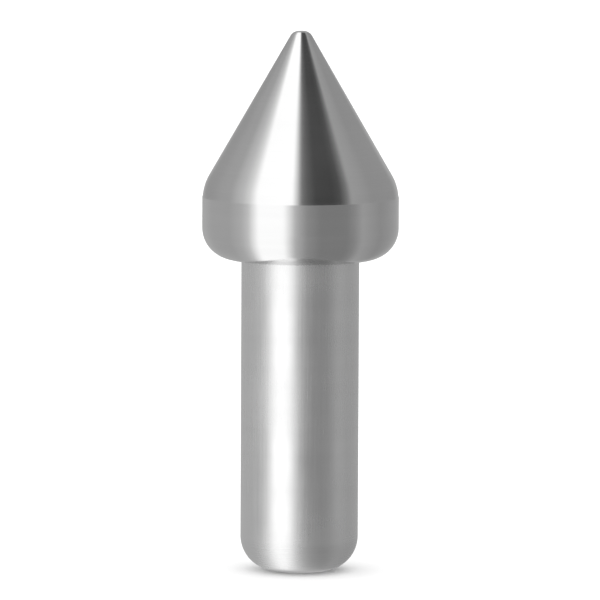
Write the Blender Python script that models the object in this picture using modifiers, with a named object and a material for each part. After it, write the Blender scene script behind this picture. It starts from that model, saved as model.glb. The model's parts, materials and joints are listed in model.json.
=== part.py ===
"""Live center: a hollow 60 degree point that turns on a straight-shank arbor.

The point runs on two shielded ball bearings hidden inside it, a larger one in the collar and a
smaller one in the cone. The inner rings sit on the arbor and stay still; the outer rings turn
with the point, and each cage carries its balls round at its own slower speed.

Blender units are metres. Every size below is in millimetres and goes through MM.
The origin is the middle of the shank's end face, and +Z runs along the axis to the tip.
"""

from math import acos, cos, degrees, pi, radians, sin, tan

import bmesh
import bpy
from mathutils import Matrix, Vector

MM = 0.001

# ---- Driving dimensions, in millimetres and degrees ---------------------------------------
SHANK_DIAMETER = 12.0
SHANK_LENGTH = 31.8  # end face to the collar's back face
HEAD_DIAMETER = 20.0
COLLAR_LENGTH = 6.4
CONE_LENGTH = 16.9
POINT_ANGLE = 60.0

SHANK_END_ROUND = 3.5
COLLAR_ROUND = 3.2
SHOULDER_ROUND = 5.0  # between the cone and the collar
SHOULDER_END_SLOPE = 4.0  # how far the shoulder still leans where it meets the collar
SHOULDER_STEP = 0.05  # the ground cone stops this far inside the turned collar
TIP_ROUND = 1.0

SEAT_GAP = 0.04  # radial, between a ring and its seat
FACE_GAP = 0.05  # axial, between parts that rest on each other
EDGE = 0.2  # chamfer on turned edges
DRILL_POINT = 118.0  # angle at the bottom of a drilled hole

SHANK_RADIUS = SHANK_DIAMETER / 2
HEAD_RADIUS = HEAD_DIAMETER / 2
COLLAR_BACK = SHANK_LENGTH
COLLAR_FRONT = COLLAR_BACK + COLLAR_LENGTH
TIP = COLLAR_FRONT + CONE_LENGTH

# Centre hole in the shank's end face, left by grinding it between centres.
CENTRE_HOLE_RADIUS = 1.2
CENTRE_HOLE_ANGLE = 60.0
CENTRE_PILOT_RADIUS = 0.5
CENTRE_PILOT_DEPTH = 2.4

# Threaded ring that keeps the rear bearing in the collar.
RETAINER_RADIUS = 7.5
RETAINER_LENGTH = 2.0
RETAINER_CLEARANCE = 0.15  # radial, to the shank
RETAINER_SLOTS = 4
RETAINER_SLOT_WIDTH = 0.9
RETAINER_SLOT_DEPTH = 0.7

# E-clips on the arbor: groove radius, outer radius, thickness (sizes 5 and 2.3).
REAR_CLIP = (2.5, 5.65, 0.7)
FRONT_CLIP = (1.15, 3.0, 0.6)
CLIP_MOUTH = 76.0
CLIP_PRONG = 30.0
CLIP_PRONG_CENTRES = (0.0, 118.0, -118.0)
CLIP_RELIEF = 0.55  # how far between the groove and the rim the clip is cut back
CLIP_ROOM = 0.25  # radial space left around a clip inside the point

WASHER_SPACE = 0.8
WASHER_THICKNESS = 0.2
WASHER_WAVE = 0.2
WASHER_WAVES = 3
WASHER_CLEARANCE = 0.1

# Steps along the arbor and in the bore of the point.
SHANK_FACE_SETBACK = 0.45  # behind the rear bearing, so that only the abutment touches it
ABUTMENT_DROP = 0.15  # below the inner ring's land, so that a shield never rubs on it
REAR_JOURNAL_TAIL = 1.7  # journal left in front of the rear bearing, for its clip
FRONT_STEP_LENGTH = 0.4
NOSE_TAIL = 1.4
CLIP_BORE_LENGTH = 1.5
NOSE_BORE_LENGTH = 0.9

LARGE_SEGMENTS = 40  # around the point, the arbor and the retainer
SMALL_SEGMENTS = 32  # around the bearings and small rings
GROOVE_STEPS = 4
CLIP_STEPS = 40
POCKET_SEGMENTS = 16
BALL_SEGMENTS = 12
BALL_RINGS = 6
SMOOTH_UNDER = 35.0  # a sharper edge than this between two faces stays crisp

# Proportions inside a bearing, as shares of the ball's radius.
GROOVE_RATIO = 1.06
LAND_RATIO = 0.83
CAGE_BAND_RATIO = 0.3
CAGE_TOP_RATIO = 0.5
CAGE_BOTTOM_RATIO = 1.45
POCKET_CLEARANCE = 0.07

SHIELD_RECESS = 0.13
SHIELD_THICKNESS = 0.2
SHIELD_CLEARANCE = 0.12  # radial, to the inner ring's land
SHIELD_SEAT_OFFSET = 0.1


class Bearing:
    """A shielded deep-groove ball bearing, with its sizes worked out from the catalogue ones."""

    def __init__(self, name, back, bore, outside, width, ball, balls):
        self.name = name
        self.back = back
        self.front = back + width
        self.middle = back + width / 2
        self.bore_radius = bore / 2
        self.outer_radius = outside / 2
        self.ball_radius = ball / 2
        self.balls = balls
        self.pitch_radius = (bore + outside) / 4
        self.groove_radius = GROOVE_RATIO * self.ball_radius
        self.inner_land = self.pitch_radius - LAND_RATIO * self.ball_radius
        self.outer_land = self.pitch_radius + LAND_RATIO * self.ball_radius
        self.shield_seat = (self.outer_land + self.outer_radius) / 2 - SHIELD_SEAT_OFFSET


# Sizes 687 (7 x 14 x 5) and 684 (4 x 9 x 4).
REAR_BEARING = Bearing("rear_bearing", COLLAR_BACK + RETAINER_LENGTH + FACE_GAP, 7, 14, 5, 2.0, 9)
CLIP_BACK = REAR_BEARING.front + FACE_GAP
JOURNAL_END = CLIP_BACK + REAR_JOURNAL_TAIL
FRONT_BEARING = Bearing("front_bearing", JOURNAL_END + FRONT_STEP_LENGTH, 4, 9, 4, 1.5, 7)
CAVITY_END = FRONT_BEARING.front + WASHER_SPACE
NOSE_END = FRONT_BEARING.front + NOSE_TAIL

STEELS = {
    "point_steel": ((0.62, 0.62, 0.62), 0.16),
    "shank_steel": ((0.58, 0.58, 0.58), 0.24),
    "bearing_steel": ((0.66, 0.66, 0.67), 0.12),
    "cage_steel": ((0.60, 0.58, 0.54), 0.32),
    "shield_steel": ((0.55, 0.55, 0.56), 0.28),
    "spring_steel": ((0.10, 0.10, 0.11), 0.42),
}


# ---- Small helpers ------------------------------------------------------------------------
def clear_scene():
    for obj in list(bpy.data.objects):
        bpy.data.objects.remove(obj)


def steel(name):
    material = bpy.data.materials.get(name)
    if material:
        return material
    colour, roughness = STEELS[name]
    material = bpy.data.materials.new(name)
    material.use_nodes = True
    shader = material.node_tree.nodes["Principled BSDF"]
    shader.inputs["Base Color"].default_value = (*colour, 1.0)
    shader.inputs["Roughness"].default_value = roughness
    shader.inputs["Metallic"].default_value = 1.0
    return material


def add_piece(name, data, material):
    obj = bpy.data.objects.new(name, data)
    live_center.objects.link(obj)
    data.materials.append(steel(material))
    return obj


def add_spin_axis(name):
    """An empty on the centre line, which carries the pieces that turn together."""
    empty = bpy.data.objects.new(name, None)
    live_center.objects.link(empty)
    return empty


def add_cutter(name, shape):
    obj = bpy.data.objects.new(name, bpy.data.meshes.new(name))
    cutters.objects.link(obj)
    shape.to_mesh(obj.data)
    shape.free()
    obj.hide_render = True
    obj.display_type = "WIRE"
    return obj


def cut(obj, cutter):
    boolean = obj.modifiers.new("Cut " + cutter.name, "BOOLEAN")
    boolean.operation = "DIFFERENCE"
    boolean.solver = "EXACT"
    boolean.object = cutter


def apply_modifiers(obj):
    bpy.context.view_layer.update()
    graph = bpy.context.evaluated_depsgraph_get()
    mesh = bpy.data.meshes.new_from_object(obj.evaluated_get(graph))
    obj.modifiers.clear()
    obj.data = mesh


def arc(centre, radius, start, end, steps):
    """Points on an arc in the profile plane. Angles are in degrees, from outwards to tipwards."""
    angles = [radians(start + (end - start) * i / steps) for i in range(steps + 1)]
    return [(centre[0] + radius * cos(a), centre[1] + radius * sin(a)) for a in angles]


def turned(name, profile, segments, material, ring=False):
    """A turned piece. The profile runs down its outer side, as (radius, height) in millimetres.

    A ring's profile closes on itself; any other starts and ends on the axis.
    """
    mesh = bpy.data.meshes.new(name)
    edges = [(i, i + 1) for i in range(len(profile) - 1)]
    if ring:
        edges.append((len(profile) - 1, 0))
    mesh.from_pydata([(r * MM, 0, z * MM) for r, z in profile], edges, [])
    obj = add_piece(name, mesh, material)
    screw = obj.modifiers.new("Turn", "SCREW")
    screw.steps = segments
    screw.render_steps = segments
    screw.use_merge_vertices = True
    screw.merge_threshold = 1e-6
    apply_modifiers(obj)
    obj.data.shade_smooth()
    obj.data.set_sharp_from_angle(angle=radians(SMOOTH_UNDER))
    return obj


def drill_depth(radius):
    """How much deeper than its wall a drilled hole goes at its middle."""
    return radius / tan(radians(DRILL_POINT / 2))


# ---- The two main pieces ------------------------------------------------------------------
def revolving_point():
    """Cone and collar in one piece, bored out from behind for both bearings."""
    half = radians(POINT_ANGLE / 2)
    slope = radians(SHOULDER_END_SLOPE)
    shoulder_centre = (
        HEAD_RADIUS - SHOULDER_STEP - SHOULDER_ROUND * cos(slope),
        COLLAR_FRONT - SHOULDER_ROUND * sin(slope),
    )
    flank_foot_radius = shoulder_centre[0] + SHOULDER_ROUND * cos(half)
    flank_foot_height = shoulder_centre[1] + SHOULDER_ROUND * sin(half)
    sharp_tip_radius = flank_foot_radius - (TIP - flank_foot_height) * tan(half)
    tip_centre = (sharp_tip_radius - TIP_ROUND * tan((pi / 2 - half) / 2), TIP - TIP_ROUND)
    collar_centre = (HEAD_RADIUS - COLLAR_ROUND, COLLAR_BACK + COLLAR_ROUND)
    mouth_angle = degrees(acos((RETAINER_RADIUS - collar_centre[0]) / COLLAR_ROUND))

    outside = [(0, TIP)]
    outside += arc(tip_centre, TIP_ROUND, 90, POINT_ANGLE / 2, 4)
    outside += arc(shoulder_centre, SHOULDER_ROUND, POINT_ANGLE / 2, SHOULDER_END_SLOPE, 4)
    outside += [(HEAD_RADIUS, COLLAR_FRONT - SHOULDER_STEP)]
    outside += arc(collar_centre, COLLAR_ROUND, 0, -mouth_angle, 7)

    thread_end = REAR_BEARING.back - FACE_GAP / 2
    rear_seat = REAR_BEARING.outer_radius + SEAT_GAP
    front_seat = FRONT_BEARING.outer_radius + SEAT_GAP
    shoulder = REAR_BEARING.front + FACE_GAP
    clip_bore = REAR_CLIP[1] + CLIP_ROOM
    clip_bore_end = shoulder + CLIP_BORE_LENGTH
    nose_bore = FRONT_CLIP[1] + CLIP_ROOM
    nose_bore_end = CAVITY_END + NOSE_BORE_LENGTH
    bore = [
        (RETAINER_RADIUS, thread_end),
        (rear_seat, thread_end),
        (rear_seat, shoulder),
        (clip_bore, shoulder),
        (clip_bore, clip_bore_end),
        (front_seat, clip_bore_end),
        (front_seat, CAVITY_END),
        (nose_bore, CAVITY_END),
        (nose_bore, nose_bore_end),
        (0, nose_bore_end + drill_depth(nose_bore)),
    ]
    return turned("revolving_point", outside + bore, LARGE_SEGMENTS, "point_steel")


def clip_groove(clip, bearing, journal):
    """The four corners of the groove in front of a bearing, from its front wall to its back one."""
    groove_radius, _, thickness = clip
    back = bearing.front + FACE_GAP / 2
    front = bearing.front + 2 * FACE_GAP + thickness
    return [(journal, front), (groove_radius, front), (groove_radius, back), (journal, back)]


def shank_arbor():
    """The shank, with stepped journals on its nose for the two inner rings."""
    abutment = REAR_BEARING.inner_land - ABUTMENT_DROP
    rear_journal = REAR_BEARING.bore_radius - SEAT_GAP
    front_step = FRONT_BEARING.inner_land - ABUTMENT_DROP
    front_journal = FRONT_BEARING.bore_radius - SEAT_GAP
    rear_rest = REAR_BEARING.back - FACE_GAP
    front_rest = FRONT_BEARING.back - FACE_GAP
    shank_face = REAR_BEARING.back - SHANK_FACE_SETBACK
    end_centre = (SHANK_RADIUS - SHANK_END_ROUND, SHANK_END_ROUND)
    cone_slope = tan(radians(CENTRE_HOLE_ANGLE / 2))
    pilot_mouth = (CENTRE_HOLE_RADIUS - CENTRE_PILOT_RADIUS) / cone_slope

    profile = [
        (0, NOSE_END),
        (front_journal - EDGE, NOSE_END),
        (front_journal, NOSE_END - EDGE),
        *clip_groove(FRONT_CLIP, FRONT_BEARING, front_journal),
        (front_journal, front_rest),
        (front_step, front_rest),
        (front_step, JOURNAL_END),
        (rear_journal - EDGE, JOURNAL_END),
        (rear_journal, JOURNAL_END - EDGE),
        *clip_groove(REAR_CLIP, REAR_BEARING, rear_journal),
        (rear_journal, rear_rest),
        (abutment, rear_rest),
        (abutment, shank_face),
        (SHANK_RADIUS - EDGE, shank_face),
        (SHANK_RADIUS, shank_face - EDGE),
        *arc(end_centre, SHANK_END_ROUND, 0, -90, 7),
        (CENTRE_HOLE_RADIUS, 0),
        (CENTRE_PILOT_RADIUS, pilot_mouth),
        (CENTRE_PILOT_RADIUS, CENTRE_PILOT_DEPTH),
        (0, CENTRE_PILOT_DEPTH + drill_depth(CENTRE_PILOT_RADIUS)),
    ]
    return turned("shank_arbor", profile, LARGE_SEGMENTS, "shank_steel")


# ---- Bearings -----------------------------------------------------------------------------
def inner_ring(b):
    spread = degrees(acos((b.pitch_radius - b.inner_land) / b.groove_radius))
    ball_track = (b.pitch_radius, b.middle)
    profile = [
        (b.bore_radius + EDGE, b.front),
        (b.inner_land, b.front),
        *arc(ball_track, b.groove_radius, 180 - spread, 180 + spread, GROOVE_STEPS),
        (b.inner_land, b.back),
        (b.bore_radius + EDGE, b.back),
        (b.bore_radius, b.back + EDGE),
        (b.bore_radius, b.front - EDGE),
    ]
    return turned(b.name + "_inner_ring", profile, SMALL_SEGMENTS, "bearing_steel", ring=True)


def outer_ring(b):
    spread = degrees(acos((b.outer_land - b.pitch_radius) / b.groove_radius))
    ball_track = (b.pitch_radius, b.middle)
    seat_depth = SHIELD_RECESS + SHIELD_THICKNESS + FACE_GAP
    profile = [
        (b.shield_seat, b.front),
        (b.outer_radius - EDGE, b.front),
        (b.outer_radius, b.front - EDGE),
        (b.outer_radius, b.back + EDGE),
        (b.outer_radius - EDGE, b.back),
        (b.shield_seat, b.back),
        (b.shield_seat, b.back + seat_depth),
        (b.outer_land, b.back + seat_depth),
        *arc(ball_track, b.groove_radius, -spread, spread, GROOVE_STEPS),
        (b.outer_land, b.front - seat_depth),
        (b.shield_seat, b.front - seat_depth),
    ]
    return turned(b.name + "_outer_ring", profile, SMALL_SEGMENTS, "bearing_steel", ring=True)


def shield(b, side, face, inwards):
    """A thin pressed washer, held at its rim in the outer ring and clear of the inner one."""
    rim = b.shield_seat - SEAT_GAP
    lip = b.inner_land + SHIELD_CLEARANCE
    near = face + inwards * SHIELD_RECESS
    far = near + inwards * SHIELD_THICKNESS
    top, bottom = max(near, far), min(near, far)
    profile = [(lip, top), (rim, top), (rim, bottom), (lip, bottom)]
    return turned(f"{b.name}_{side}_shield", profile, SMALL_SEGMENTS, "shield_steel", ring=True)


def ball_angle(b, index):
    return 2 * pi * index / b.balls


def ball(b, index):
    name = f"{b.name}_ball_{index + 1}"
    shape = bmesh.new()
    bmesh.ops.create_uvsphere(
        shape, u_segments=BALL_SEGMENTS, v_segments=BALL_RINGS, radius=b.ball_radius * MM
    )
    mesh = bpy.data.meshes.new(name)
    shape.to_mesh(mesh)
    shape.free()
    mesh.shade_smooth()
    obj = add_piece(name, mesh, "bearing_steel")
    angle = ball_angle(b, index)
    obj.location = Vector((b.pitch_radius * cos(angle), b.pitch_radius * sin(angle), b.middle)) * MM
    return obj


def cage(b):
    """A crown cage: a band with a round pocket for each ball, open towards the tip."""
    half_band = CAGE_BAND_RATIO * b.ball_radius
    top = b.middle + CAGE_TOP_RATIO * b.ball_radius
    bottom = b.middle - CAGE_BOTTOM_RATIO * b.ball_radius
    inside, outside = b.pitch_radius - half_band, b.pitch_radius + half_band
    profile = [(inside, top), (outside, top), (outside, bottom), (inside, bottom)]
    band = turned(b.name + "_cage", profile, SMALL_SEGMENTS, "cage_steel", ring=True)

    pocket_radius = b.ball_radius + POCKET_CLEARANCE
    pockets = bmesh.new()
    for index in range(b.balls):
        place = (
            Matrix.Rotation(ball_angle(b, index), 4, "Z")
            @ Matrix.Translation(Vector((b.pitch_radius, 0, b.middle)) * MM)
            @ Matrix.Rotation(pi / 2, 4, "Y")
        )
        bmesh.ops.create_cone(
            pockets,
            cap_ends=True,
            segments=POCKET_SEGMENTS,
            radius1=pocket_radius * MM,
            radius2=pocket_radius * MM,
            depth=4 * half_band * MM,
            matrix=place,
        )
    cut(band, add_cutter(b.name + "_pockets", pockets))
    return band


def bearing(b):
    """The inner ring stays on the arbor, the balls go with the cage, the rest with the point."""
    inner_ring(b)
    for piece in (outer_ring(b), shield(b, "rear", b.back, 1), shield(b, "front", b.front, -1)):
        piece.parent = point_axis
    cage_axis = add_spin_axis(b.name + "_cage_axis")
    for piece in (cage(b), *(ball(b, index) for index in range(b.balls))):
        piece.parent = cage_axis


# ---- What holds it together ---------------------------------------------------------------
def bearing_retainer():
    """Threaded ring behind the rear bearing, slotted across its face for a pin spanner."""
    inside = SHANK_RADIUS + RETAINER_CLEARANCE
    outside = RETAINER_RADIUS - SEAT_GAP
    back, front = COLLAR_BACK, COLLAR_BACK + RETAINER_LENGTH
    edge = EDGE / 2
    profile = [
        (inside, front),
        (outside - edge, front),
        (outside, front - edge),
        (outside, back + edge),
        (outside - edge, back),
        (inside, back),
    ]
    ring = turned("bearing_retainer", profile, LARGE_SEGMENTS, "shank_steel", ring=True)

    size = Vector((2 * HEAD_RADIUS, RETAINER_SLOT_WIDTH, 2 * RETAINER_SLOT_DEPTH)) * MM
    for index in range(RETAINER_SLOTS // 2):
        place = (
            Matrix.Rotation(2 * pi * (index + 0.5) / RETAINER_SLOTS, 4, "Z")
            @ Matrix.Translation((0, 0, back * MM))
            @ Matrix.Diagonal((*size, 1))
        )
        pair_of_slots = bmesh.new()
        bmesh.ops.create_cube(pair_of_slots, size=1, matrix=place)
        cut(ring, add_cutter(f"retainer_slots_{index + 1}", pair_of_slots))
    return ring


def retaining_clip(name, clip, back):
    """An E-clip: a flat ring, open on one side, that grips its groove on three prongs."""
    groove_radius, outer_radius, thickness = clip
    grip = groove_radius + SEAT_GAP
    relief = groove_radius + CLIP_RELIEF * (outer_radius - groove_radius)

    def inner_radius(angle):
        on_prong = any(abs(angle - centre) < CLIP_PRONG / 2 for centre in CLIP_PRONG_CENTRES)
        return grip if on_prong else relief

    end = 180 - CLIP_MOUTH / 2
    angles = [-end + 2 * end * i / CLIP_STEPS for i in range(CLIP_STEPS + 1)]
    outer_edge = [(outer_radius, a) for a in angles]
    inner_edge = [(inner_radius(a), a) for a in reversed(angles)]
    outline = outer_edge + inner_edge

    curve = bpy.data.curves.new(name, "CURVE")
    curve.dimensions = "2D"
    curve.fill_mode = "BOTH"
    curve.extrude = thickness / 2 * MM
    spline = curve.splines.new("POLY")
    spline.points.add(len(outline) - 1)
    for point, (radius, angle) in zip(spline.points, outline):
        turn = radians(angle)
        point.co = (radius * cos(turn) * MM, radius * sin(turn) * MM, 0, 1)
    spline.use_cyclic_u = True
    obj = add_piece(name, curve, "spring_steel")
    obj.location = (0, 0, (back + thickness / 2) * MM)
    return obj


def wave_washer():
    """A thin ring waved three times round, which preloads the two bearings against each other."""
    outside = FRONT_BEARING.outer_radius - WASHER_CLEARANCE
    inside = FRONT_CLIP[1] + CLIP_ROOM + WASHER_CLEARANCE
    middle = (FRONT_BEARING.front + CAVITY_END) / 2
    top, bottom = middle + WASHER_THICKNESS / 2, middle - WASHER_THICKNESS / 2
    profile = [(inside, top), (outside, top), (outside, bottom), (inside, bottom)]
    washer = turned("preload_wave_washer", profile, SMALL_SEGMENTS, "spring_steel", ring=True)
    for vertex in washer.data.vertices:
        turn = vertex.co.to_2d().angle_signed(Vector((1, 0)))
        vertex.co.z += WASHER_WAVE * MM * sin(WASHER_WAVES * turn)
    return washer


clear_scene()
live_center = bpy.data.collections.new("live_center")
cutters = bpy.data.collections.new("cutters")
for group in (live_center, cutters):
    bpy.context.scene.collection.children.link(group)

point_axis = add_spin_axis("point_axis")
for turning_piece in (revolving_point(), bearing_retainer(), wave_washer()):
    turning_piece.parent = point_axis
shank_arbor()
bearing(REAR_BEARING)
bearing(FRONT_BEARING)
retaining_clip("rear_retaining_clip", REAR_CLIP, CLIP_BACK)
retaining_clip("front_retaining_clip", FRONT_CLIP, FRONT_BEARING.front + FACE_GAP)
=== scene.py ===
"""The looks of the live center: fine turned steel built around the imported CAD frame.

Lengths in this script are millimetres until they go through MM, and the frame is in metres.
The angles among the constants are degrees. Every piece is modelled around the centre line,
which is the Z axis.
"""

import json
from math import acos, cos, degrees, floor, hypot, pi, radians, sin, tan
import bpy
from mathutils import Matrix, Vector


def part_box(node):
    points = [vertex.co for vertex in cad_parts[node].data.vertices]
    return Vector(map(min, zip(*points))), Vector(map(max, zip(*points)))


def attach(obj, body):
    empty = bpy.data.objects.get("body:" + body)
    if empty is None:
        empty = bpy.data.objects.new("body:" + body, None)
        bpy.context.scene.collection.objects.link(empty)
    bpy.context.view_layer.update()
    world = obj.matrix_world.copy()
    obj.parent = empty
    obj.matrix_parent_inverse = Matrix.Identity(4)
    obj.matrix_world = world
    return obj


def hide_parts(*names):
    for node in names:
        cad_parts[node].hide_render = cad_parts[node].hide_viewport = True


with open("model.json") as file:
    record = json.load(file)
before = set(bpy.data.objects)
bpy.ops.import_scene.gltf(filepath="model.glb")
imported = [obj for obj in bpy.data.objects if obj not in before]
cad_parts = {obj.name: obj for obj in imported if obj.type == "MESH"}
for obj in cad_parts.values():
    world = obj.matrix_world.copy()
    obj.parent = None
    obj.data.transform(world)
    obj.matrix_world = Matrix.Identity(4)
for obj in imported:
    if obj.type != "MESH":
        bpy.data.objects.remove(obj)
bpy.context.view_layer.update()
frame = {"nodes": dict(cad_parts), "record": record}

from types import SimpleNamespace

import bmesh
import bpy
from mathutils import Matrix, Vector

MM = 0.001

# ---- Sizes that the frame doesn't hold ------------------------------------------------------
# The outside of the point, and both ends of the shank.
POINT_ANGLE = 60.0  # included angle, of the centre hole too
TIP_ROUND = 1.0
SHOULDER_ROUND = 5.0
SHOULDER_END_SLOPE = 4.0  # how much the shoulder still leans where it meets the collar
SHOULDER_STEP = 0.05
COLLAR_LENGTH = 6.4
COLLAR_ROUND = 3.2
SHANK_RADIUS = 6.0
SHANK_END_ROUND = 3.5
SHANK_FACE_SETBACK = 0.45  # from the rear bearing back to the shank's full width
CENTRE_HOLE_RADIUS = 1.2
CENTRE_PILOT_RADIUS = 0.5
CENTRE_PILOT_DEPTH = 2.4
DRILL_POINT = 118.0

# Gaps, bores and steps round the pieces inside.
SEAT_GAP = 0.04
FACE_GAP = 0.05
CLIP_ROOM = 0.25
CLIP_BORE_LENGTH = 1.5
NOSE_BORE_LENGTH = 0.9
ABUTMENT_DROP = 0.15  # an abutment is this much lower than the inner ring that rests on it
FRONT_STEP_LENGTH = 0.4

# Bearings.
GROOVE_RATIO = 1.06  # raceway radius over ball radius
OUTER_LAND_RATIO = 0.83  # from the pitch circle out to the outer ring's lands, over ball radius
POCKET_CLEARANCE = 0.07
SHIELD_STEP = 0.12  # how far a shield's middle is pressed in from its rim
SHIELD_BENDS = (0.22, 0.34)  # where the step starts and ends, as shares of the width from the rim

# Clips, washer and retaining ring.
CLIP_PRONGS = (0.0, 118.0, -118.0)
CLIP_PRONG_WIDTH = 30.0
PRONG_FLAT = 0.42  # half of a prong's flat end, over the prong's width
PRONG_RUNOUT = 0.3  # the stretch in which it runs out into the relief, over the prong's width
CLIP_MOUTH = 76.0
CLIP_RELIEF = 0.55  # depth of the cut-back stretches, over the clip's width
CLIP_STEP = 2  # degrees between sections
WASHER_WAVES = 3
WASHER_THICKNESS = 0.2
SLOT_WIDTH = 0.9
SLOT_DEPTH = 0.7

# Roundings of turned edges.
EDGE = 0.2
SOFT_EDGE = 0.08
FINE_EDGE = 0.03

# How finely round shapes are drawn.
ROUND_SEGMENTS = 192
RING_SEGMENTS = 128
BALL_SEGMENTS = 64
POCKET_SEGMENTS = 48
ARC_STEPS = 24
BALL_STEPS = 32
RIM_STEPS = 6
FILLET_STEPS = 5
FILLET_SHARE = 0.45  # the most of a side that a fillet may take
NEARLY_STRAIGHT = 178.0  # a corner more open than this gets no fillet
LONGEST_STRIP = 1.2  # a straight stretch of a profile is split into strips no longer than this
END_STRIP = 0.1  # and has a narrow one at either end, which keeps its shading straight
CRISP_TURN = 32.0  # faces that turn more than this meet in a crisp edge
CRISP_CUT = 40.0  # the same on a piece that has been cut
BROKEN_TURN = 50.0  # and its edges that turn more than this are bevelled
ON_AXIS = 1e-6  # a point nearer the centre line than this is on it

record = frame["record"]
BODY_OF = {node: body for body, nodes in record["behaviour"]["bodies"].items() for node in nodes}
SLOT_OF = {part["node"]: part["material_slot"] for part in record["subparts"]}


# ---- Profiles ---------------------------------------------------------------------------------
def measured(node):
    """Smallest and largest radius and the height range of a CAD node, in millimetres."""
    points = [vertex.co / MM for vertex in frame["nodes"][node].data.vertices]
    radii = [hypot(p.x, p.y) for p in points]
    heights = [p.z for p in points]
    return SimpleNamespace(
        inner=min(radii),
        outer=max(radii),
        back=min(heights),
        front=max(heights),
        middle=(min(heights) + max(heights)) / 2,
    )


def arc(centre, radius, start, end, steps=ARC_STEPS):
    """Corners along an arc, to go into a profile as they are."""
    angles = [radians(start + (end - start) * i / steps) for i in range(steps + 1)]
    return [(centre[0] + radius * cos(a), centre[1] + radius * sin(a), 0.0) for a in angles]


def fillet(before, corner, after, radius):
    """Points of an arc that rounds a corner, or the corner itself where it is nearly straight."""
    here = Vector(corner)
    back, ahead = Vector(before) - here, Vector(after) - here
    half = back.angle(ahead) / 2
    if half > radians(NEARLY_STRAIGHT / 2):
        return [tuple(here)]
    reach = min(radius / tan(half), FILLET_SHARE * back.length, FILLET_SHARE * ahead.length)
    radius = reach * tan(half)
    middle = (back.normalized() + ahead.normalized()).normalized()
    centre = here + middle * (radius / sin(half))
    start = here + back.normalized() * reach - centre
    end = here + ahead.normalized() * reach - centre
    turn = start.angle_signed(end)
    points = []
    for i in range(FILLET_STEPS + 1):
        spoke = start.copy()
        spoke.rotate(Matrix.Rotation(-turn * i / FILLET_STEPS, 2))
        points.append(tuple(centre + spoke))
    return points


def smoothed(corners, closed):
    """(radius, height, wear) points from (radius, height, rounding) corners. Fillets are worn."""
    points = []
    count = len(corners)
    for i, (radius, height, rounding) in enumerate(corners):
        has_sides = closed or 0 < i < count - 1
        if rounding and has_sides:
            before, after = corners[i - 1][:2], corners[(i + 1) % count][:2]
            points += [(r, z, 1.0) for r, z in fillet(before, (radius, height), after, rounding)]
        else:
            points.append((radius, height, 0.0))
    return points


def in_strips(points, closed):
    """The same profile with its long straight stretches split up."""
    result = []
    last = len(points) if closed else len(points) - 1
    for i in range(last):
        a, b = points[i], points[(i + 1) % len(points)]
        length = hypot(b[0] - a[0], b[1] - a[1])
        strips = floor(length / LONGEST_STRIP) + 1
        result.append(a)
        if strips == 1:
            continue
        end_share = min(END_STRIP, length / 4) / length
        between = [k / strips for k in range(1, strips)]
        for share in [end_share, *between, 1 - end_share]:
            result.append((a[0] + (b[0] - a[0]) * share, a[1] + (b[1] - a[1]) * share, 0.0))
    if not closed:
        result.append(points[-1])
    return result


# ---- Meshes -----------------------------------------------------------------------------------
def finished(name, verts, faces, wear):
    """An object with smooth faces and crisp edges, which keeps how worn each point is."""
    mesh = bpy.data.meshes.new(name)
    mesh.from_pydata([Vector(v) * MM for v in verts], [], faces)
    mesh.attributes.new("wear", "FLOAT", "POINT").data.foreach_set("value", wear)
    mesh.shade_smooth()
    mesh.set_sharp_from_angle(angle=radians(CRISP_TURN))
    obj = bpy.data.objects.new(name, mesh)
    bpy.context.scene.collection.objects.link(obj)
    return obj


def lathe(name, corners, closed=False, segments=ROUND_SEGMENTS):
    """A turned piece whose profile runs down its outer side."""
    profile = in_strips(smoothed(corners, closed), closed)
    verts, wear, rows = [], [], []
    for radius, height, worn in profile:
        steps = 1 if radius < ON_AXIS else segments
        rows.append([len(verts) + k % steps for k in range(segments)])
        for k in range(steps):
            turn = 2 * pi * k / segments
            verts.append((radius * cos(turn), radius * sin(turn), height))
            wear.append(worn)
    pairs = list(zip(rows, rows[1:]))
    if closed:
        pairs.append((rows[-1], rows[0]))
    faces = []
    for upper, lower in pairs:
        for k in range(segments):
            n = (k + 1) % segments
            faces.append(list(dict.fromkeys([upper[k], lower[k], lower[n], upper[n]])))
    return finished(name, verts, faces, wear)


def sweep(name, sections, whole):
    """A ring, or a part of one, from (angle, corners) sections, each a closed profile of its own."""
    verts, wear, loops = [], [], []
    for angle, corners in sections:
        turn = radians(angle)
        profile = smoothed(corners, True)
        loops.append(range(len(verts), len(verts) + len(profile)))
        verts += [(r * cos(turn), r * sin(turn), z) for r, z, _ in profile]
        wear += [worn for _, _, worn in profile]
    faces = []
    pairs = list(zip(loops, loops[1:]))
    if whole:
        pairs.append((loops[-1], loops[0]))
    for here, following in pairs:
        for k in range(len(here)):
            n = (k + 1) % len(here)
            faces.append([here[k], here[n], following[n], following[k]])
    if not whole:
        faces.append(list(reversed(loops[0])))
        faces.append(list(loops[-1]))
    return finished(name, verts, faces, wear)


def bake(obj):
    """Makes the object's modifiers into its mesh."""
    bpy.context.view_layer.update()
    graph = bpy.context.evaluated_depsgraph_get()
    mesh = bpy.data.meshes.new_from_object(obj.evaluated_get(graph))
    obj.modifiers.clear()
    obj.data = mesh


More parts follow.
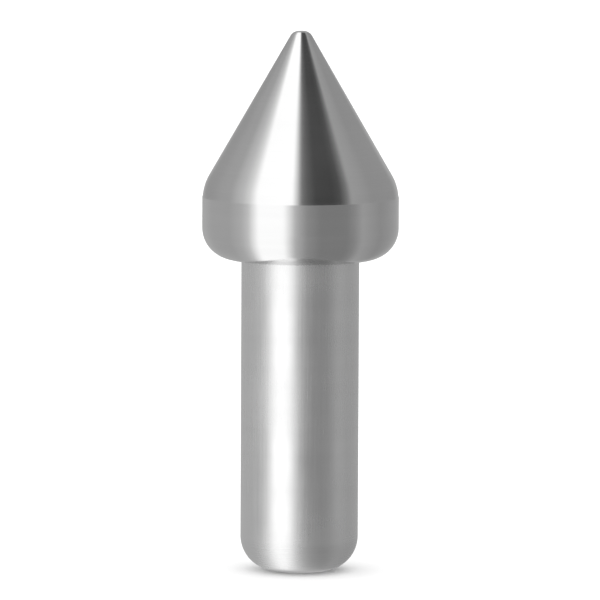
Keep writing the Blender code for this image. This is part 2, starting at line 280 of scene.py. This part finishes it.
def cut_with(obj, shapes, rounding):
    """Cuts each shape out of the piece, then takes the edge off the cuts."""
    for shape in shapes:
        cutter = bpy.data.objects.new("cutter", bpy.data.meshes.new("cutter"))
        bpy.context.scene.collection.objects.link(cutter)
        shape.to_mesh(cutter.data)
        shape.free()
        boolean = obj.modifiers.new("Cut", "BOOLEAN")
        boolean.object = cutter
        boolean.solver = "EXACT"
        bake(obj)
        bpy.data.objects.remove(cutter)
    bevel = obj.modifiers.new("Broken edges", "BEVEL")
    bevel.width = rounding * MM
    bevel.segments = 2
    bevel.limit_method = "ANGLE"
    bevel.angle_limit = radians(BROKEN_TURN)
    bake(obj)
    obj.data.shade_smooth()
    obj.data.set_sharp_from_angle(angle=radians(CRISP_CUT))


# ---- Materials --------------------------------------------------------------------------------
NOISE_MIDDLE = (0.3, 0.7)  # nearly all of a noise lies between these
BAND_WIDTH = 2.2  # of the broad differences in a turned finish
SMUDGE_SIZE = 9.0
FACE_STRETCH = 0.6  # marks on a flat face are wider than on a side by one over this
DRAWN_MARK_WIDTH_TO_LENGTH = 0.015
TURNED_BELOW = 0.8 * SHANK_END_ROUND  # the rounded end of the shank is turned, not drawn
DRAWN_ABOVE = 1.2 * SHANK_END_ROUND
MARKS_IN_COLOUR = 0.6  # the fine marks' share in the colour; the broad differences have the rest
MARKS_IN_GLOSS = 0.1  # as shares of the roughness, like the next two
HANDLING_IN_GLOSS = 0.25
WEAR_IN_GLOSS = 0.2
RUBBED_GAIN = 1.12  # how much brighter steel is where it is rubbed
COAT_GAIN = 1.8  # the lightest of the phosphate coat over its darkest
COAT_GLOSS = 0.08  # how far its roughness goes either way
BARE_SHARE = (0.2, 0.9)  # the least and the most that a worn edge of it is bare
BARE_STEEL = (0.45, 0.45, 0.45)


class Nodes:
    """A node tree under construction: short calls that add a node and give its output."""

    def __init__(self, tree):
        self.nodes = tree.nodes
        self.links = tree.links

    def feed(self, socket, value):
        if isinstance(value, bpy.types.NodeSocket):
            self.links.new(value, socket)
        else:
            socket.default_value = value

    def add(self, kind, inputs, output=0, **settings):
        node = self.nodes.new("ShaderNode" + kind)
        for setting, value in settings.items():
            setattr(node, setting, value)
        for socket, value in inputs.items():
            self.feed(node.inputs[socket], value)
        return node.outputs[output]

    def math(self, operation, *values):
        return self.add("Math", dict(enumerate(values)), operation=operation)

    def vector_math(self, operation, *values, output="Vector"):
        return self.add("VectorMath", dict(enumerate(values)), output, operation=operation)

    def split(self, vector):
        node = self.nodes.new("ShaderNodeSeparateXYZ")
        self.feed(node.inputs[0], vector)
        return node.outputs

    def mix(self, share, a, b, kind="FLOAT"):
        return self.add("Mix", {"Factor": share, "A": a, "B": b}, "Result", data_type=kind)

    def step(self, value, start, end, kind="LINEAR"):
        """From 0 at start to 1 at end."""
        inputs = {"Value": value, "From Min": start, "From Max": end}
        return self.add("MapRange", inputs, "Result", interpolation_type=kind)


class Surface(Nodes):
    """A material under construction, with its shader and the place on the piece."""

    def __init__(self, name):
        self.material = bpy.data.materials.new(name)
        self.material.use_nodes = True
        super().__init__(self.material.node_tree)
        self.inputs = self.nodes["Principled BSDF"].inputs
        self.place = self.add("TexCoord", {}, "Object")
        self.worn = self.add("Attribute", {}, "Fac", attribute_name="wear")

    def noise(self, where, size, detail, roughness=0.5, dimensions="3D"):
        """Noise whose largest features are about size millimetres."""
        inputs = {
            "W" if dimensions == "1D" else "Vector": where,
            "Scale": 1 / (size * MM),
            "Detail": detail,
            "Roughness": roughness,
        }
        return self.add("TexNoise", inputs, "Fac", noise_dimensions=dimensions)

    def spread(self, value, low, high):
        """Brings the middle of a noise, where nearly all of it lies, to the range low to high."""
        inputs = {
            "Value": value,
            "From Min": NOISE_MIDDLE[0],
            "From Max": NOISE_MIDDLE[1],
            "To Min": low,
            "To Max": high,
        }
        return self.add("MapRange", inputs, "Result")

    def colours(self, share, a, b):
        return self.mix(share, a, b, "RGBA")

    def bump(self, height, depth):
        return self.add("Bump", {"Strength": 1.0, "Distance": depth * MM, "Height": height}, "Normal")


def drawn_marks(surface, turned, pitch, height):
    """The marks of a drawn bar, which run lengthwise, over those of its turned end."""
    narrow = surface.vector_math("MULTIPLY", surface.place, (1, 1, DRAWN_MARK_WIDTH_TO_LENGTH))
    streaks = surface.noise(narrow, pitch, 3, roughness=0.6)
    share = surface.step(height, TURNED_BELOW * MM, DRAWN_ABOVE * MM)
    return surface.colours(share, turned, streaks)


def worked_metal(name, colour, roughness, pitch, depth, uneven, stretch, drawn=False):
    """Metal with fine marks round the centre line, as turning or grinding leaves them.

    pitch and depth are those of the marks in millimetres, uneven is how much the finish varies
    from place to place, and stretch how far a reflection is drawn out across the marks. On a
    drawn bar the marks run lengthwise instead.
    """
    surface = Surface(name)
    x, y, z = surface.split(surface.place)
    across = surface.math("ADD", surface.math("MULTIPLY", x, x), surface.math("MULTIPLY", y, y))
    along = surface.math("MULTIPLY_ADD", surface.math("SQRT", across), FACE_STRETCH, z)

    marks = surface.noise(along, pitch, 3, 0.6, "1D")
    if drawn:
        marks = drawn_marks(surface, marks, pitch, z)
    bands = surface.noise(along, BAND_WIDTH, 2, dimensions="1D")
    handling = surface.noise(surface.place, SMUDGE_SIZE, 4)

    darker = [c * (1 - uneven) for c in colour]
    lighter = [min(1.0, c * (1 + uneven)) for c in colour]
    rubbed = [min(1.0, c * RUBBED_GAIN) for c in colour]
    share = surface.math(
        "ADD",
        surface.spread(marks, 0.0, MARKS_IN_COLOUR),
        surface.spread(bands, 0.0, 1 - MARKS_IN_COLOUR),
    )
    base = surface.colours(share, (*darker, 1), (*lighter, 1))
    surface.feed(surface.inputs["Base Color"], surface.colours(surface.worn, base, (*rubbed, 1)))

    gloss = surface.math(
        "ADD",
        surface.spread(marks, -MARKS_IN_GLOSS, MARKS_IN_GLOSS),
        surface.spread(handling, -HANDLING_IN_GLOSS, HANDLING_IN_GLOSS),
    )
    gloss = surface.math("MULTIPLY_ADD", gloss, roughness, roughness)
    gloss = surface.math("MULTIPLY_ADD", surface.worn, -WEAR_IN_GLOSS * roughness, gloss)
    surface.feed(surface.inputs["Roughness"], gloss)
    surface.inputs["Metallic"].default_value = 1.0
    surface.inputs["Anisotropic"].default_value = stretch
    surface.inputs["Anisotropic Rotation"].default_value = 0.0 if drawn else 0.25
    tangent = surface.add("Tangent", {}, direction_type="RADIAL", axis="Z")
    surface.feed(surface.inputs["Tangent"], tangent)
    surface.feed(surface.inputs["Normal"], surface.bump(marks, depth))
    return surface.material


def coated_metal(name, colour, roughness, grain, depth):
    """Dull phosphated spring steel: a dark crystalline coat, rubbed bare along its edges."""
    surface = Surface(name)
    crystals = surface.noise(surface.place, grain, 5, roughness=0.6)
    stains = surface.noise(surface.place, SMUDGE_SIZE, 3)
    share = surface.math(
        "ADD",
        surface.spread(crystals, 0.0, MARKS_IN_COLOUR),
        surface.spread(stains, 0.0, 1 - MARKS_IN_COLOUR),
    )
    lighter = [c * COAT_GAIN for c in colour]
    base = surface.colours(share, (*colour, 1), (*lighter, 1))
    bare = surface.math("MULTIPLY", surface.worn, surface.spread(crystals, *BARE_SHARE))
    gloss = surface.spread(crystals, roughness - COAT_GLOSS, roughness + COAT_GLOSS)
    surface.feed(surface.inputs["Base Color"], surface.colours(bare, base, (*BARE_STEEL, 1)))
    surface.feed(surface.inputs["Roughness"], gloss)
    surface.inputs["Metallic"].default_value = 0.9
    surface.feed(surface.inputs["Normal"], surface.bump(crystals, depth))
    return surface.material


METALS = {
    "point_steel": worked_metal(
        "ground_point_steel", (0.70, 0.70, 0.70), roughness=0.13,
        pitch=0.09, depth=0.0004, uneven=0.03, stretch=0.6,
    ),
    "shank_steel": worked_metal(
        "drawn_shank_steel", (0.81, 0.81, 0.81), roughness=0.26,
        pitch=0.15, depth=0.0004, uneven=0.03, stretch=0.8, drawn=True,
    ),
    "bearing_steel": worked_metal(
        "lapped_bearing_steel", (0.66, 0.66, 0.67), roughness=0.10,
        pitch=0.05, depth=0.0001, uneven=0.02, stretch=0.3,
    ),
    "cage_steel": worked_metal(
        "oiled_cage_steel", (0.60, 0.58, 0.54), roughness=0.34,
        pitch=0.20, depth=0.0008, uneven=0.08, stretch=0.2,
    ),
    "shield_steel": worked_metal(
        "rolled_shield_steel", (0.55, 0.55, 0.56), roughness=0.28,
        pitch=0.15, depth=0.0005, uneven=0.05, stretch=0.4,
    ),
    "spring_steel": coated_metal(
        "phosphated_spring_steel", (0.035, 0.035, 0.038), roughness=0.42,
        grain=0.12, depth=0.003,
    ),
}


def show(obj, node):
    """Puts the finished piece in the place of its CAD node."""
    obj.data.materials.clear()
    obj.data.materials.append(METALS[SLOT_OF[node]])
    normals = obj.modifiers.new("Even normals", "WEIGHTED_NORMAL")
    normals.keep_sharp = True
    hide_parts(node)
    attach(obj, BODY_OF[node])


# ---- The two main pieces ------------------------------------------------------------------------
def drill_depth(radius):
    """How much deeper than its wall a drilled hole goes at its middle."""
    return radius / tan(radians(DRILL_POINT / 2))


def collar_round(point, radius):
    """The centre of the round under the collar, and its angle where it is at this radius."""
    centre = (point.outer - COLLAR_ROUND, point.back + COLLAR_ROUND)
    return centre, -degrees(acos((radius - centre[0]) / COLLAR_ROUND))


def revolving_point():
    """Cone and collar in one, ground outside and bored from behind for both bearings."""
    cad = measured("revolving_point")
    rear, front = measured("rear_bearing_outer_ring"), measured("front_bearing_outer_ring")
    rear_clip, front_clip = measured("rear_retaining_clip"), measured("front_retaining_clip")
    washer, retainer = measured("preload_wave_washer"), measured("bearing_retainer")
    collar_front = cad.back + COLLAR_LENGTH
    half, slope = radians(POINT_ANGLE / 2), radians(SHOULDER_END_SLOPE)
    shoulder_centre = (
        cad.outer - SHOULDER_STEP - SHOULDER_ROUND * cos(slope),
        collar_front - SHOULDER_ROUND * sin(slope),
    )
    flank_foot_radius = shoulder_centre[0] + SHOULDER_ROUND * cos(half)
    flank_foot_height = shoulder_centre[1] + SHOULDER_ROUND * sin(half)
    sharp_tip_radius = flank_foot_radius - (cad.front - flank_foot_height) * tan(half)
    tip_centre = (sharp_tip_radius - TIP_ROUND * tan((pi / 2 - half) / 2), cad.front - TIP_ROUND)
    mouth = retainer.outer + SEAT_GAP
    collar_centre, mouth_angle = collar_round(cad, mouth)
    shoulder = rear.front + FACE_GAP
    clip_bore = rear_clip.outer + CLIP_ROOM
    nose_bore = front_clip.outer + CLIP_ROOM
    cavity_end = front.front + (washer.middle - front.front) * 2
    nose_bore_end = cavity_end + NOSE_BORE_LENGTH
    thread_end = rear.back - FACE_GAP / 2
    rear_seat, front_seat = rear.outer + SEAT_GAP, front.outer + SEAT_GAP

    outside = [
        (0, cad.front, 0),
        *arc(tip_centre, TIP_ROUND, 90, POINT_ANGLE / 2),
        *arc(shoulder_centre, SHOULDER_ROUND, POINT_ANGLE / 2, SHOULDER_END_SLOPE),
        (cad.outer, collar_front - SHOULDER_STEP, 0),
        *arc(collar_centre, COLLAR_ROUND, 0, mouth_angle),
    ]
    bore = [
        (mouth, cad.back + EDGE, 0),
        (mouth, thread_end, 0),
        (rear_seat, thread_end, FINE_EDGE),
        (rear_seat, shoulder, FINE_EDGE),
        (clip_bore, shoulder, SOFT_EDGE),
        (clip_bore, shoulder + CLIP_BORE_LENGTH, SOFT_EDGE),
        (front_seat, shoulder + CLIP_BORE_LENGTH, SOFT_EDGE),
        (front_seat, cavity_end, FINE_EDGE),
        (nose_bore, cavity_end, SOFT_EDGE),
        (nose_bore, nose_bore_end, SOFT_EDGE),
        (0, nose_bore_end + drill_depth(nose_bore), 0),
    ]
    show(lathe("ground_point", outside + bore), "revolving_point")


def clip_groove(clip, bearing, journal):
    """The four corners of the groove in front of a bearing, from its front wall to its back one."""
    groove = clip.inner - SEAT_GAP
    back, front = bearing.front + FACE_GAP / 2, clip.front + FACE_GAP
    return [
        (journal, front, FINE_EDGE),
        (groove, front, FINE_EDGE),
        (groove, back, FINE_EDGE),
        (journal, back, FINE_EDGE),
    ]


def shank_arbor():
    """The shank, with stepped journals on its nose for the two inner rings."""
    cad = measured("shank_arbor")
    rear, front = measured("rear_bearing_inner_ring"), measured("front_bearing_inner_ring")
    rear_clip, front_clip = measured("rear_retaining_clip"), measured("front_retaining_clip")
    abutment, front_step = rear.outer - ABUTMENT_DROP, front.outer - ABUTMENT_DROP
    rear_journal, front_journal = rear.inner - SEAT_GAP, front.inner - SEAT_GAP
    rear_rest, front_rest = rear.back - FACE_GAP, front.back - FACE_GAP
    shank_face = rear.back - SHANK_FACE_SETBACK
    journal_end = front.back - FRONT_STEP_LENGTH
    end_centre = (SHANK_RADIUS - SHANK_END_ROUND, SHANK_END_ROUND)
    pilot_mouth = (CENTRE_HOLE_RADIUS - CENTRE_PILOT_RADIUS) / tan(radians(POINT_ANGLE / 2))
    profile = [
        (0, cad.front, 0),
        (front_journal, cad.front, EDGE),
        *clip_groove(front_clip, front, front_journal),
        (front_journal, front_rest, FINE_EDGE),
        (front_step, front_rest, SOFT_EDGE),
        (front_step, journal_end, FINE_EDGE),
        (rear_journal, journal_end, EDGE),
        *clip_groove(rear_clip, rear, rear_journal),
        (rear_journal, rear_rest, FINE_EDGE),
        (abutment, rear_rest, SOFT_EDGE),
        (abutment, shank_face, FINE_EDGE),
        (SHANK_RADIUS, shank_face, EDGE),
        *arc(end_centre, SHANK_END_ROUND, 0, -90),
        (CENTRE_HOLE_RADIUS, 0, SOFT_EDGE),
        (CENTRE_PILOT_RADIUS, pilot_mouth, SOFT_EDGE),
        (CENTRE_PILOT_RADIUS, CENTRE_PILOT_DEPTH, FINE_EDGE),
        (0, CENTRE_PILOT_DEPTH + drill_depth(CENTRE_PILOT_RADIUS), 0),
    ]
    show(lathe("ground_shank", profile), "shank_arbor")


# ---- Bearings -----------------------------------------------------------------------------------
def bearing_rings(name, pitch, ball_radius):
    """Both rings, with a raceway each and, in the outer ring, a seat for either shield."""
    groove = GROOVE_RATIO * ball_radius
    inner, outer = measured(name + "_inner_ring"), measured(name + "_outer_ring")
    spread = degrees(acos((pitch - inner.outer) / groove))
    profile = [
        (inner.outer, inner.front, SOFT_EDGE),
        *arc((pitch, inner.middle), groove, 180 - spread, 180 + spread),
        (inner.outer, inner.back, SOFT_EDGE),
        (inner.inner, inner.back, EDGE),
        (inner.inner, inner.front, EDGE),
    ]
    show(lathe(name + "_lapped_inner_ring", profile, True, RING_SEGMENTS), name + "_inner_ring")

    land = pitch + OUTER_LAND_RATIO * ball_radius
    spread = degrees(acos((land - pitch) / groove))
    shield = measured(name + "_rear_shield")
    seat, seat_depth = shield.outer + SEAT_GAP, shield.front - outer.back + FACE_GAP
    profile = [
        (seat, outer.front, SOFT_EDGE),
        (outer.outer, outer.front, EDGE),
        (outer.outer, outer.back, EDGE),
        (seat, outer.back, SOFT_EDGE),
        (seat, outer.back + seat_depth, FINE_EDGE),
        (land, outer.back + seat_depth, FINE_EDGE),
        *arc((pitch, outer.middle), groove, -spread, spread),
        (land, outer.front - seat_depth, FINE_EDGE),
        (seat, outer.front - seat_depth, FINE_EDGE),
    ]
    show(lathe(name + "_lapped_outer_ring", profile, True, RING_SEGMENTS), name + "_outer_ring")


def pressed_shield(name, side, inwards):
    """A sheet washer whose middle is pressed in from its rim. inwards is 1 towards the tip."""
    cad = measured(f"{name}_{side}_shield")
    bend_out, bend_in = [cad.outer - share * (cad.outer - cad.inner) for share in SHIELD_BENDS]
    pressed = inwards * SHIELD_STEP
    top = [(cad.inner, pressed), (bend_in, pressed), (bend_out, 0), (cad.outer, 0)]
    upper = [(radius, cad.front + lift, FINE_EDGE) for radius, lift in top]
    lower = [(radius, cad.back + lift, FINE_EDGE) for radius, lift in reversed(top)]
    shield = lathe(f"{name}_{side}_pressed_shield", upper + lower, True, RING_SEGMENTS)
    show(shield, f"{name}_{side}_shield")


def crown_cage(name, pitch, ball_radius, balls):
    """The band that keeps the balls apart, with a drilled pocket for each."""
    cad = measured(name + "_cage")
    middle = measured(name + "_inner_ring").middle
    profile = [
        (cad.inner, cad.front, SOFT_EDGE),
        (cad.outer, cad.front, SOFT_EDGE),
        (cad.outer, cad.back, SOFT_EDGE),
        (cad.inner, cad.back, SOFT_EDGE),
    ]
    band = lathe(name + "_crown_cage", profile, True, RING_SEGMENTS)
    radius = (ball_radius + POCKET_CLEARANCE) * MM
    pockets = bmesh.new()
    for index in range(balls):
        place = (
            Matrix.Rotation(2 * pi * index / balls, 4, "Z")
            @ Matrix.Translation(Vector((pitch, 0, middle)) * MM)
            @ Matrix.Rotation(pi / 2, 4, "Y")
        )
        bmesh.ops.create_cone(
            pockets,
            cap_ends=True,
            segments=POCKET_SEGMENTS,
            radius1=radius,
            radius2=radius,
            depth=2 * ball_radius * MM,
            matrix=place,
        )
    cut_with(band, [pockets], FINE_EDGE)
    show(band, name + "_cage")


def ball(name, index):
    """A lapped ball, turned about its own centre."""
    node = f"{name}_ball_{index}"
    low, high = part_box(node)
    radius = (high.z - low.z) / 2 / MM
    outline = arc((0, 0), radius, 90, -90, BALL_STEPS)
    obj = lathe(f"{name}_lapped_ball_{index}", outline, False, BALL_SEGMENTS)
    obj.location = (low + high) / 2
    show(obj, node)


def bearing(name):
    low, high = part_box(name + "_ball_1")
    pitch, ball_radius = (low.x + high.x) / 2 / MM, (high.z - low.z) / 2 / MM
    balls = sum(node.startswith(name + "_ball_") for node in frame["nodes"])
    bearing_rings(name, pitch, ball_radius)
    pressed_shield(name, "rear", 1)
    pressed_shield(name, "front", -1)
    crown_cage(name, pitch, ball_radius, balls)
    for index in range(balls):
        ball(name, index + 1)


# ---- What holds it together ---------------------------------------------------------------------
def bearing_retainer():
    """Threaded ring behind the rear bearing, slotted across its back for a pin spanner.

    It is turned together with the collar, so the collar's round runs on over its outer corner.
    """
    cad, point = measured("bearing_retainer"), measured("revolving_point")
    collar_centre, rim_angle = collar_round(point, cad.outer)
    profile = [
        (cad.inner, cad.front, FINE_EDGE),
        (cad.outer, cad.front, SOFT_EDGE),
        *arc(collar_centre, COLLAR_ROUND, rim_angle, -90, RIM_STEPS),
        (cad.inner, cad.back, SOFT_EDGE),
    ]
    ring = lathe("slotted_retainer", profile, True, RING_SEGMENTS)
    across = 4 * cad.outer  # well past the ring on both sides, so each bar cuts two slots
    bars = []
    for index in range(2):
        place = (
            Matrix.Rotation(pi / 4 + pi / 2 * index, 4, "Z")
            @ Matrix.Translation((0, 0, cad.back * MM))
            @ Matrix.Diagonal((across * MM, SLOT_WIDTH * MM, 2 * SLOT_DEPTH * MM, 1))
        )
        bar = bmesh.new()
        bmesh.ops.create_cube(bar, size=1, matrix=place)
        bars.append(bar)
    cut_with(ring, bars, FINE_EDGE)
    show(ring, "bearing_retainer")


def retaining_clip(node, name):
    """An E-clip, whose three prongs run smoothly into the cut-back stretches between them."""
    cad = measured(node)
    relief = CLIP_RELIEF * (cad.outer - cad.inner)
    end = round(180 - CLIP_MOUTH / 2)

    def section(angle):
        from_prong = min(abs(angle - prong) for prong in CLIP_PRONGS) / CLIP_PRONG_WIDTH
        away = min(1.0, max(0.0, (from_prong - PRONG_FLAT) / PRONG_RUNOUT))
        inside = cad.inner + relief * (1 - cos(pi * away)) / 2
        return [
            (inside, cad.front, SOFT_EDGE),
            (cad.outer, cad.front, SOFT_EDGE),
            (cad.outer, cad.back, SOFT_EDGE),
            (inside, cad.back, SOFT_EDGE),
        ]

    angles = range(-end, end + 1, CLIP_STEP)
    show(sweep(name, [(angle, section(angle)) for angle in angles], False), node)


def wave_washer():
    """A thin ring waved three times round, which preloads the two bearings against each other."""
    cad = measured("preload_wave_washer")
    wave = (cad.front - cad.back - WASHER_THICKNESS) / 2

    def section(angle):
        lift = cad.middle - wave * sin(radians(WASHER_WAVES * angle))
        top, bottom = lift + WASHER_THICKNESS / 2, lift - WASHER_THICKNESS / 2
        return [
            (cad.inner, top, FINE_EDGE),
            (cad.outer, top, FINE_EDGE),
            (cad.outer, bottom, FINE_EDGE),
            (cad.inner, bottom, FINE_EDGE),
        ]

    angles = [360 * i / RING_SEGMENTS for i in range(RING_SEGMENTS)]
    washer = sweep("waved_washer", [(angle, section(angle)) for angle in angles], True)
    show(washer, "preload_wave_washer")


revolving_point()
shank_arbor()
bearing_retainer()
wave_washer()
retaining_clip("rear_retaining_clip", "rear_e_clip")
retaining_clip("front_retaining_clip", "front_e_clip")
bearing("rear_bearing")
bearing("front_bearing")


# ---- Studio -------------------------------------------------------------------------------------
# A long lens a little above the object.
CAMERA_LENS = 400.0
CAMERA_SENSOR = 36.0
CAMERA_DISTANCE = 678.6
CAMERA_ELEVATION = 6.0
CAMERA_AIM = (-0.015, 0.0, 27.66)
CAMERA_ROLL = 0.25
CAMERA_CLIP = (10.0, 20000.0)

# The lights are laid out by the slope of steel that mirrors them into the camera, as
# (facing, brightness). Facing is in degrees: 0 faces the camera and 90 its right-hand side.
UPRIGHT_STEEL = [
    (-90, 0.48), (-74, 0.50), (-64, 0.46), (-46, 0.455), (-37, 0.54), (-32, 0.70),
    (-25, 1.40), (-10, 1.40), (-3, 0.58), (4, 0.34), (12, 0.26), (28, 0.26),
    (33, 0.31), (39, 0.43), (54, 0.34), (66, 0.39), (82, 0.46), (90, 0.48),
]
LEANING_STEEL = [
    (-90, 0.48), (-82, 0.36), (-64, 0.39), (-56, 0.43), (-46, 0.45), (-36, 0.66),
    (-31, 0.90), (-26, 1.42), (-5, 1.45), (0.5, 0.22), (4, 0.12), (9, 0.06),
    (19, 0.055), (24, 0.08), (28.5, 0.22), (31.5, 0.42), (40, 0.39), (47, 0.35),
    (60, 0.355), (72, 0.35), (82, 0.45), (90, 0.48),
]
BRIGHTEST = 1.45
UPRIGHT_UP_TO = 2.0  # degrees that a surface leans back
LEANING_FROM = 4.0
GLANCING_LIGHT = 0.46  # what steel mirrors where it is seen edge-on or faces up or down
STEEP_FROM = 54.0  # degrees that a surface leans back or hangs over
STEEP_TO = 72.0
EDGE_ON = 0.15  # length of the sum of the directions to a light and the camera, 2 when aligned
FRONTAL = 0.6
ROOM_LIGHT = 1.6  # what dull surfaces are lit by
BACKDROP = 1.0
PAPER = (0.8, 0.8, 0.8, 1)
PAPER_ROUGHNESS = 0.9
FLOOR_SIZE = 4000.0
FLOOR_GAP = 0.02  # between the floor and the object


def lights(tree, facing, stops):
    """Brightness by facing, where facing is given as 0 at -90 degrees to 1 at 90."""
    ramp = tree.nodes.new("ShaderNodeValToRGB")
    elements = ramp.color_ramp.elements
    elements.remove(elements[-1])
    for index, (angle, brightness) in enumerate(stops):
        place = (angle + 90) / 180
        stop = elements.new(place) if index else elements[0]
        stop.position = place
        level = brightness / BRIGHTEST
        stop.color = (level, level, level, 1)
    tree.feed(ramp.inputs[0], facing)
    return ramp.outputs["Color"]


def studio():
    """Soft boxes and grey flags round the object, mirrored in the steel, with a white backdrop."""
    world = bpy.data.worlds.new("studio")
    bpy.context.scene.world = world
    world.use_nodes = True
    tree = Nodes(world.node_tree)
    tree.nodes.clear()

    lift = radians(CAMERA_ELEVATION)
    to_light = tree.add("TexCoord", {}, "Generated")
    halfway = tree.vector_math("ADD", to_light, (0, -cos(lift), sin(lift)))
    x, y, z = tree.split(tree.vector_math("NORMALIZE", halfway))
    facing = tree.math("ARCTAN2", x, tree.math("MULTIPLY", y, -1.0))
    facing = tree.math("MULTIPLY_ADD", facing, 1 / pi, 0.5)
    leaning = tree.step(z, sin(radians(UPRIGHT_UP_TO)), sin(radians(LEANING_FROM)), "SMOOTHSTEP")
    length = tree.vector_math("LENGTH", halfway, output="Value")
    frontal = tree.step(length, EDGE_ON, FRONTAL, "SMOOTHSTEP")
    lean = tree.math("ABSOLUTE", z)
    sideways = tree.step(lean, sin(radians(STEEP_TO)), sin(radians(STEEP_FROM)), "SMOOTHSTEP")

    upright_light, leaning_light = [lights(tree, facing, s) for s in (UPRIGHT_STEEL, LEANING_STEEL)]
    mirrored = tree.mix(leaning, upright_light, leaning_light)
    patterned = tree.math("MULTIPLY", frontal, sideways)
    mirrored = tree.mix(patterned, GLANCING_LIGHT / BRIGHTEST, mirrored)
    glossy_ray = tree.add("LightPath", {}, "Is Glossy Ray")
    camera_ray = tree.add("LightPath", {}, "Is Camera Ray")
    lit = tree.mix(glossy_ray, ROOM_LIGHT, tree.math("MULTIPLY", mirrored, BRIGHTEST))
    background = tree.add("Background", {"Color": tree.mix(camera_ray, lit, BACKDROP)})
    output = tree.nodes.new("ShaderNodeOutputWorld")
    tree.feed(output.inputs["Surface"], background)


def white_sheet():
    """White paper that is clear when seen from below."""
    material = bpy.data.materials.new("white_sheet")
    material.use_nodes = True
    tree = Nodes(material.node_tree)
    paper = tree.nodes["Principled BSDF"]
    paper.inputs["Base Color"].default_value = PAPER
    paper.inputs["Roughness"].default_value = PAPER_ROUGHNESS
    paper.inputs["Specular IOR Level"].default_value = 0.0
    from_below = tree.add("NewGeometry", {}, "Backfacing")
    clear = tree.add("BsdfTransparent", {})
    sides = tree.add("MixShader", {0: from_below, 1: paper.outputs[0], 2: clear})
    tree.feed(tree.nodes["Material Output"].inputs["Surface"], sides)
    return material


def floor_plane():
    """A white sheet just under the object."""
    half = FLOOR_SIZE / 2 * MM
    corners = [(-half, -half, 0), (half, -half, 0), (half, half, 0), (-half, half, 0)]
    mesh = bpy.data.meshes.new("floor")
    mesh.from_pydata(corners, [], [(0, 1, 2, 3)])
    mesh.materials.append(white_sheet())
    plane = bpy.data.objects.new("floor", mesh)
    bpy.context.scene.collection.objects.link(plane)
    plane.location.z = -FLOOR_GAP * MM
    plane.visible_glossy = False


def camera():
    """The camera, rolled a little so that the centre line leans slightly to one side."""
    data = bpy.data.cameras.new("camera")
    data.lens = CAMERA_LENS
    data.sensor_width = CAMERA_SENSOR
    data.clip_start, data.clip_end = [distance * MM for distance in CAMERA_CLIP]
    cam = bpy.data.objects.new("camera", data)
    bpy.context.scene.collection.objects.link(cam)
    lift = radians(CAMERA_ELEVATION)
    back = Vector((0, -cos(lift), sin(lift)))
    aim = (-back).to_track_quat("-Z", "Y").to_matrix().to_4x4()
    place = Matrix.Translation((Vector(CAMERA_AIM) + back * CAMERA_DISTANCE) * MM)
    cam.matrix_world = place @ aim @ Matrix.Rotation(radians(CAMERA_ROLL), 4, "Z")
    bpy.context.scene.camera = cam


studio()
floor_plane()
camera()
bpy.context.scene.view_settings.view_transform = "Standard"

bpy.context.view_layer.update()
